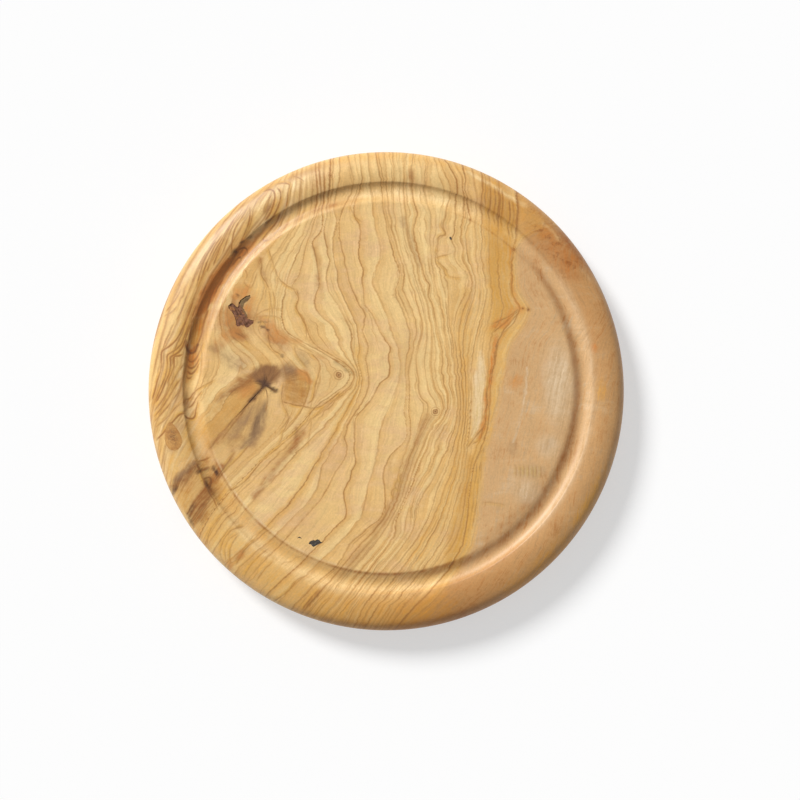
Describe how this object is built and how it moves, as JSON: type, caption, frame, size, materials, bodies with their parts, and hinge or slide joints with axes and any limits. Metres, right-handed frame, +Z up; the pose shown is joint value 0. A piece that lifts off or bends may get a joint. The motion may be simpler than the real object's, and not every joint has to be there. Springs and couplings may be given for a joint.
{
  "type": "serving board",
  "caption": "Round turned olive-wood serving board with a flat serving floor, a juice groove and a rolled rim.",
  "frame": {"origin": "centre of the underside, on the surface that the board rests on", "axes": "+Z up along the turning axis, +Y towards the back of the board as pictured from its front, +X to the right"},
  "size_m": [0.3, 0.3, 0.025],
  "materials": {
    "olive_wood": "oiled, satin, with dark growth lines",
    "bark": "ingrown bark, dull and ragged",
    "knot_wood": "oiled branch wood, darker than the board",
    "void_filler": "dark resin filler, sanded flush"
  },
  "bodies": {
    "root": {"board": "olive_wood", "bark_inclusion": "bark", "rim_knot": "knot_wood", "large_void_fill": "void_filler", "small_void_fill": "void_filler", "pin_void_fill": "void_filler"}
  },
  "joints": []
}
